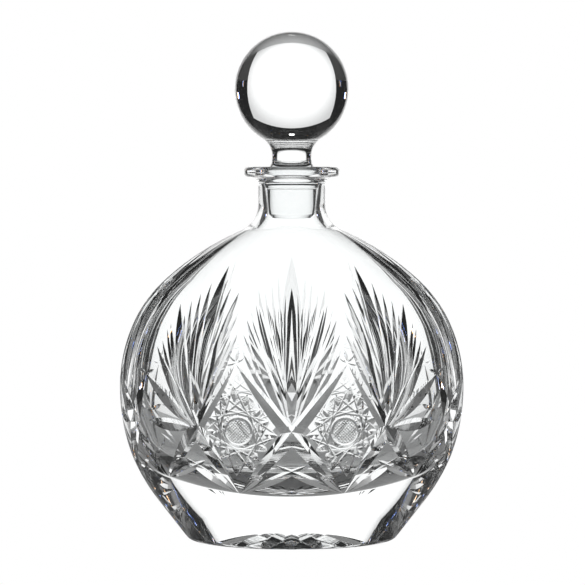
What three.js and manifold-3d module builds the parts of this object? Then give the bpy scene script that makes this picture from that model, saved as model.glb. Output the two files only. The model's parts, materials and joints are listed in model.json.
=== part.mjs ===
// Whisky decanter of cut lead crystal with a ball stopper.
// Millimetres, +Z up, origin on the table under the middle of the foot, the wide faces towards -Y and +Y.
// The body is a flattened round bottle: thick walls, a heavy solid base and a round neck with a flange.
// A wheel-cut pattern runs round the belly: a zigzag of mitres, palm fans, hobstars and a star under the foot.

import * as THREE from 'three';
import { mergeVertices } from 'three/addons/utils/BufferGeometryUtils.js';
import Module from 'manifold-3d';

const wasm = await Module();
wasm.setup();

// Body outline, seen from the front
const BELLY_HALF_WIDTH = 85;
const BELLY_HEIGHT = 75.7;
const UPPER_RADIUS = 71.5;
const LOWER_RADIUS = 91.1;
const SHOULDER_RADIUS = 153;
const SHOULDER_START = THREE.MathUtils.degToRad(51);
const NECK_FILLET = 14;
const NECK_RADIUS = 16.4;
const FOOT_TAPER = THREE.MathUtils.degToRad(37.7);
const FOOT_CORNER = 4.9;

// Body outline, seen from the side
const BELLY_HALF_DEPTH = 48.5;

// Walls and hollow
const WALL_BELLY = 9.7;
const WALL_NECK = 4.2;
const WALL_FACE = 8.6;
const BASE_THICKNESS = 27;
const HOLLOW_RISE = 1.8;
const HOLLOW_TAPER = THREE.MathUtils.degToRad(21.3);
const HOLLOW_CORNER = 26;
const HOLLOW_FLOOR_RADIUS = 160;
const HOLLOW_SHOULDER_RADIUS = 400;
const BORE_TAPER = THREE.MathUtils.degToRad(7);

// Dome under the foot, inside the flat ring that stands on the table
const DOME_HALF_WIDTH = 40;
const DOME_HEIGHT = 8.5;

// Neck and flange
const NECK_LENGTH = 18.1;
const FLANGE_RADIUS = 23.3;
const FLANGE_THICKNESS = 4.5;
const FLANGE_FILLET = 4.4;
const MOUTH_ROUND = 1.1;

// Stopper
const BALL_RADIUS = 27.9;
const BALL_ABOVE_RIM = 37.7;
const STEM_RADIUS = 9.6;
const STEM_FILLET = 10;
const STEM_RING_ABOVE_RIM = 2.2;
const STEM_RING_LENGTH = 0.8;
const STEM_RING_STEP = 0.4;
const STEM_FLARE = 1;
const STEM_FLARE_BELOW_RIM = 0.4;
const SEAT_TOP_BELOW_RIM = 3.6;
const SEAT_LENGTH = 7.4;
const SEAT_CHAMFER = 0.6;
const SEAT_CLEARANCE = 0.3;
const PLUG_STEP = 1.1;
const PLUG_BELOW_RIM = 25.8;
const PLUG_CORNER = 2.2;

// Cuts: widths on the surface, and the wheels' half angles. The back and the foot are cut with a blunter wheel
const WHEEL_HALF_ANGLE = THREE.MathUtils.degToRad(48);
const BLUNT_WHEEL_HALF_ANGLE = THREE.MathUtils.degToRad(70);
const MITRE_WIDTH = 8;
const FROND_WIDTH = 7;
const SMALL_LEAF_WIDTH = 4.2;
const SIDE_LEAF_WIDTH = 11;
const SIDE_PAIR_WIDTH = 5.4;
const STAR_POINT_WIDTH = 2.8;
const STAR_POINT_MARGIN = 0.8;
const BUTTON_RADIUS = 5.6;
const BUTTON_RING_WIDTH = 1.7;
const BASE_STAR_WIDTH = 8.5;
const BASE_STAR_MARGIN = 1;
const BASE_STAR_HUB = 1;

// By what width the wheel has run out of the glass at the ends of a leaf
const LEAF_RUN_OUT = 0.15;

// Share of a frond's length left uncut next to its crossing
const FROND_START = 0.04;

// Counts and facets
const STAR_POINTS = 8;
const BASE_STAR_POINTS = 16;
const BODY_SEGMENTS = 36;
const HOLLOW_SEGMENTS = 24;
const STOPPER_SEGMENTS = 32;
const FACET_ERROR = 0.22;
const CUT_ERROR = 0.5;
const LEAST_CUT_STEPS = 3;
const BASE_STAR_STEPS = 3;
const CUT_LIFT = 0.8;
const SEARCH_STEPS = 30;

// Landmarks of the pattern in one quarter of the body. Each is an angle from the middle of the face in degrees,
// and a height as a share of the way from the foot to the top of the shoulder
const CROSS_FRONT = [0, 0.342];
const CROSS_OUTER = [33, 0.361];
const CROSS_SIDE = [69, 0.364];
const TOP_INNER = [18.4, 0.549];
const TOP_OUTER = [55.2, 0.511];
const LOW_INNER = [20.1, 0.17];
const LOW_OUTER = [51.6, 0.209];
const STAR_CENTRE = [17.6, 0.354];

// Mitres: long leaves between landmarks, each through one or two crossings
const MITRES = [
  [TOP_INNER, [-LOW_INNER[0], LOW_INNER[1]]],
  [TOP_INNER, LOW_OUTER],
  [LOW_INNER, [52.1, 0.593]],
  [TOP_OUTER, [85, 0.182]],
  [LOW_OUTER, [85, 0.558]],
];

// Small leaves that cross below the mitres' crossings
const SMALL_LEAVES = [
  [[5.6, 0.259], [-17.5, 0.177]],
  [[30.4, 0.269], [50.2, 0.21]],
  [[39.6, 0.275], [22.6, 0.178]],
];

// Upright leaves along the narrow side: one on its middle line, one beside it
const SIDE_LEAF = [[90, 0.103], [90, 0.922]];
const SIDE_PAIR = [[87, 0.115], [81.5, 0.898]];

// Tips of the fronds of each fan, and how wide each frond is beside the usual one
const FRONT_MIDDLE = [0, 0.85, 1.55];
const FRONT_FAN = [
  [14.1, 0.763, 0.94],
  [16.3, 0.677, 1.05],
  [16.8, 0.59, 0.5],
];
const OUTER_FAN = [
  [34.5, 0.825, 1.1],
  [48.1, 0.715, 1.03],
  [22.9, 0.696, 0.97],
  [21.8, 0.754, 0.6],
  [18.7, 0.635, 0.65],
  [54.5, 0.376, 0.9],
  [55.2, 0.511, 0.94],
];
const SIDE_FAN = [
  [72, 0.771, 0.94],
  [64.5, 0.68, 1],
  [79, 0.74, 0.77],
  [82, 0.655, 0.65],
  [60, 0.373, 0.65],
  [80, 0.382, 0.65],
];

// Outline pieces

function onCircle(centre, radius, angle) {
  return centre.clone().add(new THREE.Vector2(Math.cos(angle), Math.sin(angle)).multiplyScalar(radius));
}

// Points along a circle from one angle to another, both ends included, close enough for the facets' error
function arcPoints(centre, radius, from, to) {
  const largestStep = 2 * Math.acos(1 - FACET_ERROR / radius);
  const steps = Math.ceil(Math.abs(to - from) / largestStep);
  return Array.from({ length: steps + 1 }, (_, i) => (
    onCircle(centre, radius, THREE.MathUtils.lerp(from, to, i / steps))
  ));
}

// A shoulder arc that carries on from the belly and runs by a hollow fillet into an upright of the given radius
function shoulder(bellyCentre, bellyRadius, shoulderRadius, fillet, upright) {
  const start = onCircle(bellyCentre, bellyRadius, SHOULDER_START);
  const centre = onCircle(start, -shoulderRadius, SHOULDER_START);
  const end = Math.acos((upright + fillet - centre.x) / (shoulderRadius + fillet));
  return { centre, end, filletCentre: onCircle(centre, shoulderRadius + fillet, end) };
}

const bellyCentre = new THREE.Vector2(BELLY_HALF_WIDTH - UPPER_RADIUS, BELLY_HEIGHT);
const lowerCentre = new THREE.Vector2(BELLY_HALF_WIDTH - LOWER_RADIUS, BELLY_HEIGHT);
const outerShoulder = shoulder(bellyCentre, UPPER_RADIUS, SHOULDER_RADIUS, NECK_FILLET, NECK_RADIUS);
const taperTop = onCircle(lowerCentre, LOWER_RADIUS, -FOOT_TAPER);
const footSharp = taperTop.x - taperTop.y * Math.tan(FOOT_TAPER);
const footFlat = footSharp - FOOT_CORNER * Math.tan((Math.PI / 2 - FOOT_TAPER) / 2);
const domeRadius = (DOME_HALF_WIDTH ** 2 + DOME_HEIGHT ** 2) / (2 * DOME_HEIGHT);
const domeCentre = new THREE.Vector2(0, DOME_HEIGHT - domeRadius);
const shoulderTop = outerShoulder.filletCentre.y;
const rimTop = shoulderTop + NECK_LENGTH;

// Half width of the outside at a height, from the foot's taper to the end of the shoulder
function halfWidthAt(height) {
  if (height < taperTop.y) return taperTop.x - (taperTop.y - height) * Math.tan(FOOT_TAPER);
  if (height < BELLY_HEIGHT) return lowerCentre.x + Math.sqrt(LOWER_RADIUS ** 2 - (BELLY_HEIGHT - height) ** 2);
  const start = onCircle(bellyCentre, UPPER_RADIUS, SHOULDER_START);
  if (height < start.y) return bellyCentre.x + Math.sqrt(UPPER_RADIUS ** 2 - (height - BELLY_HEIGHT) ** 2);
  const { centre } = outerShoulder;
  return centre.x + Math.sqrt(Math.max(SHOULDER_RADIUS ** 2 - (height - centre.y) ** 2, 0));
}

// Half depth that goes with a half width: round up to the neck's radius, flattened beyond it
function halfDepth(halfWidth, round, widest, deepest) {
  if (halfWidth <= round) return halfWidth;
  return round + (halfWidth - round) * (deepest - round) / (widest - round);
}

const outerDepth = (halfWidth) => halfDepth(halfWidth, NECK_RADIUS, BELLY_HALF_WIDTH, BELLY_HALF_DEPTH);
const hollowRadius = UPPER_RADIUS - WALL_BELLY;
const throatRadius = NECK_RADIUS - WALL_NECK;
const hollowHalfWidth = bellyCentre.x + hollowRadius;
const hollowHalfDepth = BELLY_HALF_DEPTH - WALL_FACE;
const hollowDepth = (halfWidth) => halfDepth(halfWidth, throatRadius, hollowHalfWidth, hollowHalfDepth);
const hollowFillet = NECK_FILLET + WALL_NECK;
const hollowCentre = new THREE.Vector2(bellyCentre.x, BELLY_HEIGHT + HOLLOW_RISE);
const hollowShoulder = shoulder(
  hollowCentre, hollowRadius, HOLLOW_SHOULDER_RADIUS, hollowFillet, throatRadius,
);
const boreStart = onCircle(hollowShoulder.filletCentre, hollowFillet, Math.PI - BORE_TAPER);

// The bore is a cone that opens from the throat to the rim
function boreRadiusAt(height) {
  return boreStart.x + (height - boreStart.y) * Math.tan(BORE_TAPER);
}

// Solids

// Turns an outline about +Z, then flattens it front to back below a height: the neck above it stays round
function turned(outline, segments, depthOf, neckHeight) {
  const geometry = new THREE.LatheGeometry(outline, segments);
  geometry.rotateX(Math.PI / 2);
  const position = geometry.getAttribute('position');
  for (let i = 0; i < position.count; i += 1) {
    const radius = Math.hypot(position.getX(i), position.getY(i));
    const below = position.getZ(i) < neckHeight;
    if (below && radius > 0) position.setY(i, position.getY(i) * depthOf(radius) / radius);
  }
  return solidOf(geometry);
}

function solidOf(geometry) {
  const bare = geometry.clone();
  bare.deleteAttribute('normal');
  bare.deleteAttribute('uv');
  const merged = mergeVertices(bare, 1e-4);
  const mesh = new wasm.Mesh({
    numProp: 3,
    vertProperties: new Float32Array(merged.getAttribute('position').array),
    triVerts: dropFlat(merged.getIndex().array),
  });
  return new wasm.Manifold(mesh);
}

// Triangles that closed up to a line when their corners were merged are left out
function dropFlat(index) {
  const kept = [];
  for (let i = 0; i < index.length; i += 3) {
    const [a, b, c] = [index[i], index[i + 1], index[i + 2]];
    if (a !== b && b !== c && c !== a) kept.push(a, b, c);
  }
  return new Uint32Array(kept);
}

function geometryOf(solid) {
  const mesh = solid.getMesh();
  const geometry = new THREE.BufferGeometry();
  geometry.setAttribute('position', new THREE.BufferAttribute(new Float32Array(mesh.vertProperties), 3));
  geometry.setIndex(new THREE.BufferAttribute(new Uint32Array(mesh.triVerts), 1));
  geometry.computeVertexNormals();
  return geometry;
}

function bodyOutline() {
  const footCentre = new THREE.Vector2(footFlat, FOOT_CORNER);
  const { centre, end, filletCentre } = outerShoulder;
  const underFlange = rimTop - FLANGE_THICKNESS;
  const edge = FLANGE_THICKNESS / 2;
  const flangeCentre = new THREE.Vector2(FLANGE_RADIUS - edge, rimTop - edge);
  const flangeFilletCentre = new THREE.Vector2(NECK_RADIUS + FLANGE_FILLET, underFlange - FLANGE_FILLET);
  const domeEdge = Math.acos(DOME_HALF_WIDTH / domeRadius);
  return [
    ...arcPoints(domeCentre, domeRadius, Math.PI / 2, domeEdge),
    ...arcPoints(footCentre, FOOT_CORNER, -Math.PI / 2, -FOOT_TAPER),
    ...arcPoints(lowerCentre, LOWER_RADIUS, -FOOT_TAPER, 0),
    ...arcPoints(bellyCentre, UPPER_RADIUS, 0, SHOULDER_START),
    ...arcPoints(centre, SHOULDER_RADIUS, SHOULDER_START, end),
    ...arcPoints(filletCentre, NECK_FILLET, Math.PI + end, Math.PI),
    ...arcPoints(flangeFilletCentre, FLANGE_FILLET, Math.PI, Math.PI / 2),
    ...arcPoints(flangeCentre, edge, -Math.PI / 2, Math.PI / 2),
    new THREE.Vector2(0, rimTop),
  ];
}

// The corner that touches the hollow's taper and its bowl-shaped floor. Its centre lies beside the taper,
// where the floor's centre is one radius less the other away: the lower root of a quadratic in its height
function hollowCorner() {
  const low = onCircle(hollowCentre, hollowRadius, -HOLLOW_TAPER);
  const slope = Math.tan(HOLLOW_TAPER);
  const start = low.x - low.y * slope - HOLLOW_CORNER / Math.cos(HOLLOW_TAPER);
  const top = BASE_THICKNESS + HOLLOW_FLOOR_RADIUS;
  const reach = HOLLOW_FLOOR_RADIUS - HOLLOW_CORNER;
  const half = start * slope - top;
  const square = 1 + slope ** 2;
  const height = (-half - Math.sqrt(half ** 2 - square * (start ** 2 + top ** 2 - reach ** 2))) / square;
  const centre = new THREE.Vector2(start + slope * height, height);
  return { centre, join: Math.atan2(height - top, centre.x) };
}

// The hollow's outline ends in the bore, whose mouth is rounded outwards, and goes on a little above the rim
function hollowOutline() {
  const { centre, end, filletCentre } = hollowShoulder;
  const corner = hollowCorner();
  const floorCentre = new THREE.Vector2(0, BASE_THICKNESS + HOLLOW_FLOOR_RADIUS);
  const mouth = boreRadiusAt(rimTop - MOUTH_ROUND);
  const mouthCentre = new THREE.Vector2(mouth + MOUTH_ROUND, rimTop - MOUTH_ROUND);
  return [
    ...arcPoints(floorCentre, HOLLOW_FLOOR_RADIUS, -Math.PI / 2, corner.join),
    ...arcPoints(corner.centre, HOLLOW_CORNER, corner.join, -HOLLOW_TAPER),
    ...arcPoints(hollowCentre, hollowRadius, -HOLLOW_TAPER, SHOULDER_START),
    ...arcPoints(centre, HOLLOW_SHOULDER_RADIUS, SHOULDER_START, end),
    ...arcPoints(filletCentre, hollowFillet, Math.PI + end, Math.PI - BORE_TAPER),
    ...arcPoints(mouthCentre, MOUTH_ROUND, Math.PI, Math.PI / 2),
    new THREE.Vector2(mouth + MOUTH_ROUND, rimTop + CUT_LIFT),
    new THREE.Vector2(0, rimTop + CUT_LIFT),
  ];
}

// The cut pattern

// A landmark's place on the outside
function surfacePoint([degrees, share]) {
  const angle = THREE.MathUtils.degToRad(degrees);
  const height = share * shoulderTop;
  const halfWidth = halfWidthAt(height);
  return new THREE.Vector3(halfWidth * Math.sin(angle), -outerDepth(halfWidth) * Math.cos(angle), height);
}

// How far outside the body a point is, as a share of the body's size at that height
function outsideBy(point) {
  const halfWidth = halfWidthAt(point.z);
  return (point.x / halfWidth) ** 2 + (point.y / outerDepth(halfWidth)) ** 2 - 1;
}

function surfaceNormal(point) {
  const step = 0.01;
  const slope = ['x', 'y', 'z'].map((axis) => {
    const ahead = point.clone();
    ahead[axis] += step;
    const behind = point.clone();
    behind[axis] -= step;
    return outsideBy(ahead) - outsideBy(behind);
  });
  return new THREE.Vector3(...slope).normalize();
}

// Moves a point along a direction, by no more than a reach either way, until it lies on the outside
function ontoSurface(point, direction, reach) {
  let inner = -reach;
  let outer = reach;
  for (let i = 0; i < SEARCH_STEPS; i += 1) {
    const middle = (inner + outer) / 2;
    if (outsideBy(point.clone().addScaledVector(direction, middle)) < 0) inner = middle;
    else outer = middle;
  }
  return point.clone().addScaledVector(direction, inner);
}

// Stations of a straight cut across the outside between two of its points, in the plane the wheel stands in.
// The more the surface bulges between the points, the more steps the cut has
function pathAcross(from, to) {
  const middle = from.clone().lerp(to, 0.5);
  const facing = surfaceNormal(middle);
  const along = to.clone().sub(from).normalize();
  const reach = from.distanceTo(to) / 2;
  const bulge = middle.distanceTo(ontoSurface(middle, facing, reach));
  const steps = Math.max(LEAST_CUT_STEPS, Math.ceil(Math.sqrt(bulge / CUT_ERROR)));
  return Array.from({ length: steps + 1 }, (_, i) => {
    const place = ontoSurface(from.clone().lerp(to, i / steps), facing, reach);
    const normal = surfaceNormal(place);
    const across = along.clone().cross(normal).normalize();
    return { place, normal, across };
  });
}

// A wheel's V along a stroke: at each station its lowest line, and its two edges a little above the surface
function wheelCut({ path, widthAt, closed = false }, halfAngle) {
  const spread = Math.tan(halfAngle);
  const positions = [];
  path.forEach(({ place, normal, across }, i) => {
    const depth = widthAt(i / (path.length - 1)) / 2 / spread;
    const half = (depth + CUT_LIFT) * spread;
    const top = place.clone().addScaledVector(normal, CUT_LIFT);
    positions.push(place.clone().addScaledVector(normal, -depth));
    positions.push(top.clone().addScaledVector(across, half));
    positions.push(top.clone().addScaledVector(across, -half));
  });
  const index = [];
  const last = closed ? path.length : path.length - 1;
  for (let i = 0; i < last; i += 1) {
    const a = 3 * i;
    const b = 3 * ((i + 1) % path.length);
    for (let side = 0; side < 3; side += 1) {
      const next = (side + 1) % 3;
      index.push(a + side, b + side, b + next, a + side, b + next, a + next);
    }
  }
  if (!closed) {
    const end = 3 * (path.length - 1);
    index.push(0, 1, 2, end, end + 2, end + 1);
  }
  const geometry = new THREE.BufferGeometry();
  geometry.setAttribute('position', new THREE.Float32BufferAttribute(positions.flatMap((p) => p.toArray()), 3));
  geometry.setIndex(index);
  return solidOf(geometry);
}

// A leaf is pointed at both ends and widest in its middle
function leafWidth(width) {
  return (share) => width * 4 * share * (1 - share) - LEAF_RUN_OUT;
}

function leaf([from, to], width) {
  return { path: pathAcross(surfacePoint(from), surfacePoint(to)), widthAt: leafWidth(width) };
}

// Fronds start a little way out from their crossing, where the wheel lifts off
function fan(centre, tips) {
  return tips.map(([degrees, height, widthShare]) => {
    const start = [
      THREE.MathUtils.lerp(centre[0], degrees, FROND_START),
      THREE.MathUtils.lerp(centre[1], height, FROND_START),
    ];
    return leaf([start, [degrees, height]], FROND_WIDTH * widthShare);
  });
}

// A ring and points round a button, on the face of one diamond
function hobstar() {
  const centre = surfacePoint(STAR_CENTRE);
  const normal = surfaceNormal(centre);
  const upward = new THREE.Vector3(0, 0, 1).addScaledVector(normal, -normal.z).normalize();
  const sideways = upward.clone().cross(normal).normalize();
  const at = (radius, angle) => {
    const flat = centre.clone()
      .addScaledVector(sideways, radius * Math.cos(angle))
      .addScaledVector(upward, radius * Math.sin(angle));
    return ontoSurface(flat, normal, radius);
  };
  const ringRadius = BUTTON_RADIUS + BUTTON_RING_WIDTH / 2;
  const steps = 2 * STAR_POINTS;
  const ring = Array.from({ length: steps }, (_, i) => {
    const angle = 2 * Math.PI * i / steps;
    const place = at(ringRadius, angle);
    const across = place.clone().sub(centre).normalize();
    return { place, normal: surfaceNormal(place), across };
  });
  const strokes = [{ path: ring, widthAt: () => BUTTON_RING_WIDTH, closed: true }];
  for (let i = 0; i < STAR_POINTS; i += 1) {
    const angle = 2 * Math.PI * i / STAR_POINTS;
    const start = at(ringRadius, angle);
    const end = at(diamondReach(angle), angle);
    strokes.push({ path: pathAcross(start, end), widthAt: leafWidth(STAR_POINT_WIDTH) });
  }
  return strokes;
}

// Distance from the star's centre to the edges of the mitres round its diamond, in one direction
function diamondReach(angle) {
  const centre = surfacePoint(STAR_CENTRE);
  const corners = {
    right: surfacePoint(CROSS_OUTER).distanceTo(centre),
    left: surfacePoint(CROSS_FRONT).distanceTo(centre),
    up: surfacePoint(TOP_INNER).distanceTo(centre),
    down: surfacePoint(LOW_INNER).distanceTo(centre),
  };
  const wide = Math.cos(angle) > 0 ? corners.right : corners.left;
  const tall = Math.sin(angle) > 0 ? corners.up : corners.down;
  const edge = 1 / (Math.abs(Math.cos(angle)) / wide + Math.abs(Math.sin(angle)) / tall);
  return edge - MITRE_WIDTH / 2 - STAR_POINT_MARGIN;
}

// The star in the dome under the foot: leaves from near its crown to just inside its edge
function baseStar() {
  return Array.from({ length: BASE_STAR_POINTS }, (_, i) => {
    const angle = 2 * Math.PI * i / BASE_STAR_POINTS;
    const path = Array.from({ length: BASE_STAR_STEPS + 1 }, (_unused, k) => {
      const reach = THREE.MathUtils.lerp(BASE_STAR_HUB, DOME_HALF_WIDTH - BASE_STAR_MARGIN, k / BASE_STAR_STEPS);
      const rise = Math.sqrt(domeRadius ** 2 - reach ** 2);
      const outward = new THREE.Vector3(reach * Math.cos(angle), outerDepth(reach) * Math.sin(angle), 0);
      const place = outward.clone().setZ(domeCentre.y + rise);
      const normal = outward.clone().setLength(-reach).setZ(-rise).normalize();
      const across = outward.clone().cross(normal).normalize();
      return { place, normal, across };
    });
    return { path, widthAt: leafWidth(BASE_STAR_WIDTH) };
  });
}

// All cuts: one half of a face's strokes, mirrored to its other half, then all of it to the back
function patternCuts() {
  const half = [
    ...MITRES.map((ends) => leaf(ends, MITRE_WIDTH)),
    ...SMALL_LEAVES.map((ends) => leaf(ends, SMALL_LEAF_WIDTH)),
    ...fan(CROSS_FRONT, FRONT_FAN),
    ...fan(CROSS_OUTER, OUTER_FAN),
    ...fan(CROSS_SIDE, SIDE_FAN),
    ...hobstar(),
    leaf(SIDE_PAIR, SIDE_PAIR_WIDTH),
  ];
  const middle = fan(CROSS_FRONT, [FRONT_MIDDLE]);
  const acrossMiddle = (solid) => solid.mirror([1, 0, 0]);
  const face = (halfAngle) => {
    const right = half.map((stroke) => wheelCut(stroke, halfAngle));
    return [...right, ...right.map(acrossMiddle), ...middle.map((stroke) => wheelCut(stroke, halfAngle))];
  };
  const side = wheelCut(leaf(SIDE_LEAF, SIDE_LEAF_WIDTH), WHEEL_HALF_ANGLE);
  return [
    ...face(WHEEL_HALF_ANGLE),
    ...face(BLUNT_WHEEL_HALF_ANGLE).map((solid) => solid.mirror([0, 1, 0])),
    side,
    acrossMiddle(side),
    ...baseStar().map((stroke) => wheelCut(stroke, BLUNT_WHEEL_HALF_ANGLE)),
  ];
}

function decanterBody() {
  const outside = turned(bodyOutline(), BODY_SEGMENTS, outerDepth, shoulderTop);
  const hollow = turned(hollowOutline(), HOLLOW_SEGMENTS, hollowDepth, hollowShoulder.filletCentre.y);
  const cuts = patternCuts().reduce((all, cut) => all.add(cut));
  return geometryOf(outside.subtract(hollow).subtract(cuts));
}

// The stopper: a solid ball on a waisted stem, a seat that fits the bore, and a plug below it
function stopperOutline() {
  const seatTop = rimTop - SEAT_TOP_BELOW_RIM;
  const seatLow = seatTop - SEAT_LENGTH;
  const plugEnd = rimTop - PLUG_BELOW_RIM;
  const plugTopRadius = boreRadiusAt(seatLow) - SEAT_CLEARANCE - PLUG_STEP;
  const plugEndRadius = plugTopRadius - (seatLow - plugEnd) * Math.tan(BORE_TAPER);
  const plugCorner = new THREE.Vector2(plugEndRadius - PLUG_CORNER, plugEnd + PLUG_CORNER);
  const ring = rimTop + STEM_RING_ABOVE_RIM;
  const ballCentre = new THREE.Vector2(0, rimTop + BALL_ABOVE_RIM);
  const reach = BALL_RADIUS + STEM_FILLET;
  const filletX = STEM_RADIUS + STEM_FILLET;
  const filletCentre = new THREE.Vector2(filletX, ballCentre.y - Math.sqrt(reach ** 2 - filletX ** 2));
  const ballJoin = Math.atan2(filletCentre.y - ballCentre.y, filletCentre.x);
  return [
    new THREE.Vector2(0, plugEnd),
    ...arcPoints(plugCorner, PLUG_CORNER, -Math.PI / 2, -BORE_TAPER),
    new THREE.Vector2(plugTopRadius, seatLow),
    new THREE.Vector2(boreRadiusAt(seatLow) - SEAT_CLEARANCE, seatLow + SEAT_CHAMFER),
    new THREE.Vector2(boreRadiusAt(seatTop) - SEAT_CLEARANCE, seatTop),
    new THREE.Vector2(STEM_RADIUS + STEM_RING_STEP + STEM_FLARE, rimTop - STEM_FLARE_BELOW_RIM),
    new THREE.Vector2(STEM_RADIUS + STEM_RING_STEP, ring - STEM_RING_LENGTH),
    new THREE.Vector2(STEM_RADIUS + STEM_RING_STEP / 2, ring),
    ...arcPoints(filletCentre, STEM_FILLET, Math.PI, Math.PI + ballJoin),
    ...arcPoints(ballCentre, BALL_RADIUS, ballJoin, Math.PI / 2),
  ];
}

function stopperBody() {
  return geometryOf(turned(stopperOutline(), STOPPER_SEGMENTS, (radius) => radius, 0));
}

const crystal = new THREE.MeshStandardMaterial({
  name: 'lead_crystal',
  color: 0xf2f5f7,
  roughness: 0.02,
  metalness: 0,
  transparent: true,
  opacity: 0.35,
});

function part(name, geometry) {
  const mesh = new THREE.Mesh(geometry, crystal);
  mesh.name = name;
  return mesh;
}

const decanter = new THREE.Group();
decanter.name = 'whisky_decanter';
decanter.add(part('decanter_body', decanterBody()));
decanter.add(part('stopper', stopperBody()));

export default decanter;
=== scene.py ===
"""Whisky decanter of cut lead crystal with a ball stopper: the glass, its cutting and a plain studio.

Sizes are in millimetres until a mesh is made. +Z is up, the wide faces look towards -Y and +Y.
"""
import json
import math

import bpy
import numpy as np
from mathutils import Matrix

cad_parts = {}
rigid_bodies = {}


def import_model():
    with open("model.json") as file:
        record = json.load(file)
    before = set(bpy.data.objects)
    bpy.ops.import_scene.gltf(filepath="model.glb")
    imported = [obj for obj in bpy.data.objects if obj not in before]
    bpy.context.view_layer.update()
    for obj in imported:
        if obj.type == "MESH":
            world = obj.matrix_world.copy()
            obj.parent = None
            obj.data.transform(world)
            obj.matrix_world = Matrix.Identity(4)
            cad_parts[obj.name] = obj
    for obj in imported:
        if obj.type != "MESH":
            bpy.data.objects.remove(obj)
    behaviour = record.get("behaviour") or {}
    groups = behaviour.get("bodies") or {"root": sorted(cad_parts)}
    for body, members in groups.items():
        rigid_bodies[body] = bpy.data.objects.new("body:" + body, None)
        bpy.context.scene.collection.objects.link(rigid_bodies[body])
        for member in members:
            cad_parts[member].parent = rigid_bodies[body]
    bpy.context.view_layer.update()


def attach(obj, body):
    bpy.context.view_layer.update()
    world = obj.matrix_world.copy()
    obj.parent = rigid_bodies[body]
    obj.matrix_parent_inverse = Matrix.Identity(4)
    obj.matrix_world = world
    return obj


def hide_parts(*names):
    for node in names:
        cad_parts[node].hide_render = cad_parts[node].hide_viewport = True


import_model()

MM = 0.001

# Outside of the body, seen from the front
BELLY_HALF_WIDTH = 85.0
BELLY_HEIGHT = 75.7
UPPER_RADIUS = 71.5
LOWER_RADIUS = 91.1
SHOULDER_RADIUS = 153.0
SHOULDER_START = math.radians(51)
NECK_FILLET = 14.0
NECK_RADIUS = 16.4
NECK_LENGTH = 18.1
FOOT_TAPER = math.radians(37.7)
FOOT_CORNER = 4.9
FLANGE_RADIUS = 23.3
FLANGE_THICKNESS = 5.0
FLANGE_EDGE = 1.9
FLANGE_FILLET = 4.4

# Depth front to back
BELLY_HALF_DEPTH = 48.45

# Hollow
WALL_BELLY = 8.8
WALL_NECK = 4.2
WALL_FACE = 8.6
BASE_THICKNESS = 27.0
HOLLOW_RISE = 1.8
HOLLOW_TAPER = math.radians(21.3)
HOLLOW_CORNER = 26.0
HOLLOW_FLOOR_RADIUS = 160.0
HOLLOW_SHOULDER_RADIUS = 400.0
HOLLOW_FILLET = 13.0
BORE_TAPER = math.radians(7)
MOUTH_ROUND = 1.1

# Dome under the foot
DOME_HALF_WIDTH = 40.0
DOME_HEIGHT = 8.5

# Cutting: half angles of the wheels' rims. The back and the foot are cut with the blunter wheel
WHEEL_HALF_ANGLE = math.radians(48)
BLUNT_WHEEL_HALF_ANGLE = math.radians(70)
BLADE_FULLNESS = 0.6

# How far a cut's solid stands out of the glass, and by what width the wheel has left it at a leaf's ends
CUT_LIFT = 0.6
RUN_OUT = 0.12

# Stopper. A corner is rounded over no more than a share of its shorter side
BALL_RADIUS = 27.9
BALL_ABOVE_RIM = 37.7
STEM_RADIUS = 9.6
STEM_FILLET = 10.0
STEM_RING_ABOVE_RIM = 2.2
STEM_RING_LENGTH = 0.8
STEM_RING_STEP = 0.4
STEM_FLARE = 1.0
STEM_FLARE_BELOW_RIM = 0.4
SEAT_TOP_BELOW_RIM = 3.6
SEAT_LENGTH = 7.4
SEAT_CHAMFER = 0.6
SEAT_CLEARANCE = 0.3
PLUG_STEP = 0.7
PLUG_TAPER = math.radians(4)
PLUG_BELOW_RIM = 25.8
PLUG_CORNER = 2.2
SEAT_ROUND = 0.5
ROUND_SHARE = 0.45

# The plug's end beyond its flat middle: shares of the corner inside its edge, and heights above its end
PLUG_END_FLAT = 4.0
PLUG_END_CURVE = ((1.2, 0.05), (0.8, 0.2))

# The pattern. Marks are angles in degrees from the middle of the front, and heights
CROSS_FRONT = (0, 56.4)
CROSS_OUTER = (33, 59.5)
CROSS_SIDE = (69, 60)
TOP_INNER = (18.4, 90.5)
TOP_OUTER = (55.2, 84.2)
LOW_INNER = (20.1, 28)
LOW_OUTER = (51.6, 34.4)
STAR_CENTRE = (17.6, 58.4)
MITRE_WIDTH = 8.2

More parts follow.
